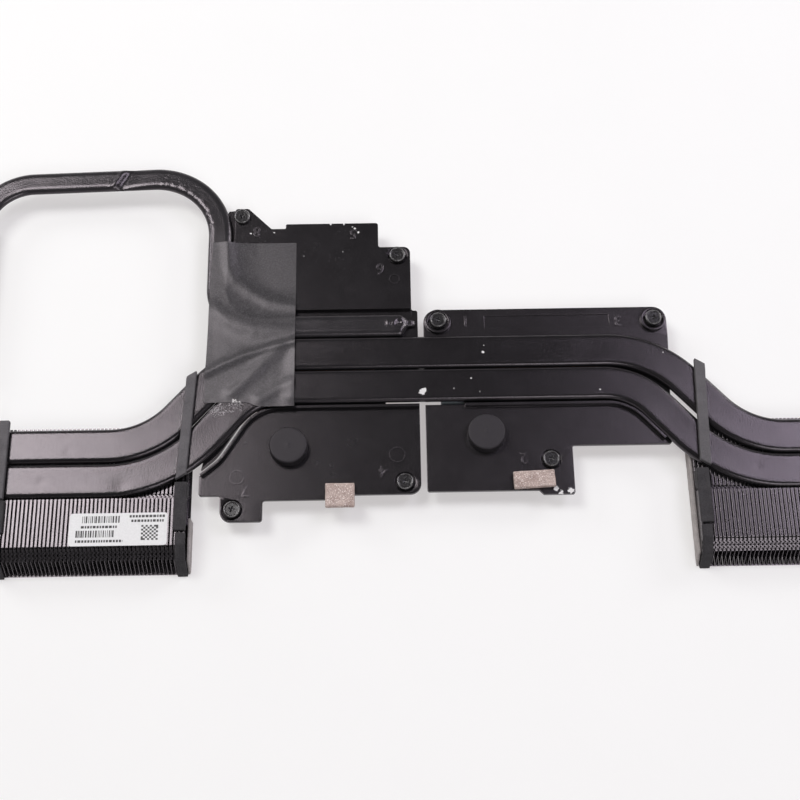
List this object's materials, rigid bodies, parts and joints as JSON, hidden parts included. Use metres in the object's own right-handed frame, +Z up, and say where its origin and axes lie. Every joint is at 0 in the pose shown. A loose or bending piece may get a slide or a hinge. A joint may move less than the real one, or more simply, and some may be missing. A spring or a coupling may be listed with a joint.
{
  "type": "laptop heat-pipe cooling module",
  "caption": "Black laptop heatsink: flattened heat pipes join a processor plate and a graphics plate to folded fin stacks at the rear and at the side.",
  "frame": {"origin": "middle of the processor contact face", "axes": "+X along the pipes to the graphics plate, +Y away from the rear fins, +Z up from the board to the pipes"},
  "size_m": [0.3047, 0.1383, 0.011],
  "materials": {
    "black_paint": "satin black paint",
    "fin_paint": "satin black paint",
    "copper": "machined copper",
    "screw_steel": "blackened",
    "bumper_rubber": "matte",
    "black_foam": "matte foam",
    "side_foam": "matte foam",
    "ground_foam": "speckled conductive cloth",
    "cloth_tape": "matte cloth",
    "label_paper": "matte",
    "thermal_pad": "matte"
  },
  "bodies": {
    "root": {"cpu_base_plate": "black_paint", "gpu_base_plate": "black_paint", "upper_heat_pipe": "black_paint", "lower_heat_pipe": "black_paint", "loop_heat_pipe": "black_paint", "left_fins": "fin_paint", "right_fins": "fin_paint", "side_fins": "fin_paint", "cpu_cold_plate": "copper", "gpu_cold_plate": "copper", "cpu_screws": "screw_steel", "gpu_screws": "screw_steel", "screw_clips": "screw_steel", "cpu_bumper": "bumper_rubber", "gpu_bumper": "bumper_rubber", "left_inner_foam_bar": "black_foam", "left_inner_foam_block": "black_foam", "left_inner_foam_front": "black_foam", "left_outer_foam_bar": "black_foam", "left_outer_foam_block": "black_foam", "left_outer_foam_front": "black_foam", "right_inner_foam_bar": "black_foam", "right_inner_foam_block": "black_foam", "right_inner_foam_front": "black_foam", "right_outer_foam_bar": "black_foam", "right_outer_foam_block": "black_foam", "right_outer_foam_front": "black_foam", "left_side_foam": "side_foam", "right_side_foam": "side_foam", "cpu_ground_foam": "ground_foam", "gpu_ground_foam": "ground_foam", "pipe_tape": "cloth_tape", "fin_label": "label_paper", "cpu_power_pad": "thermal_pad", "gpu_memory_pads": "thermal_pad", "gpu_power_pad": "thermal_pad"}
  },
  "joints": []
}
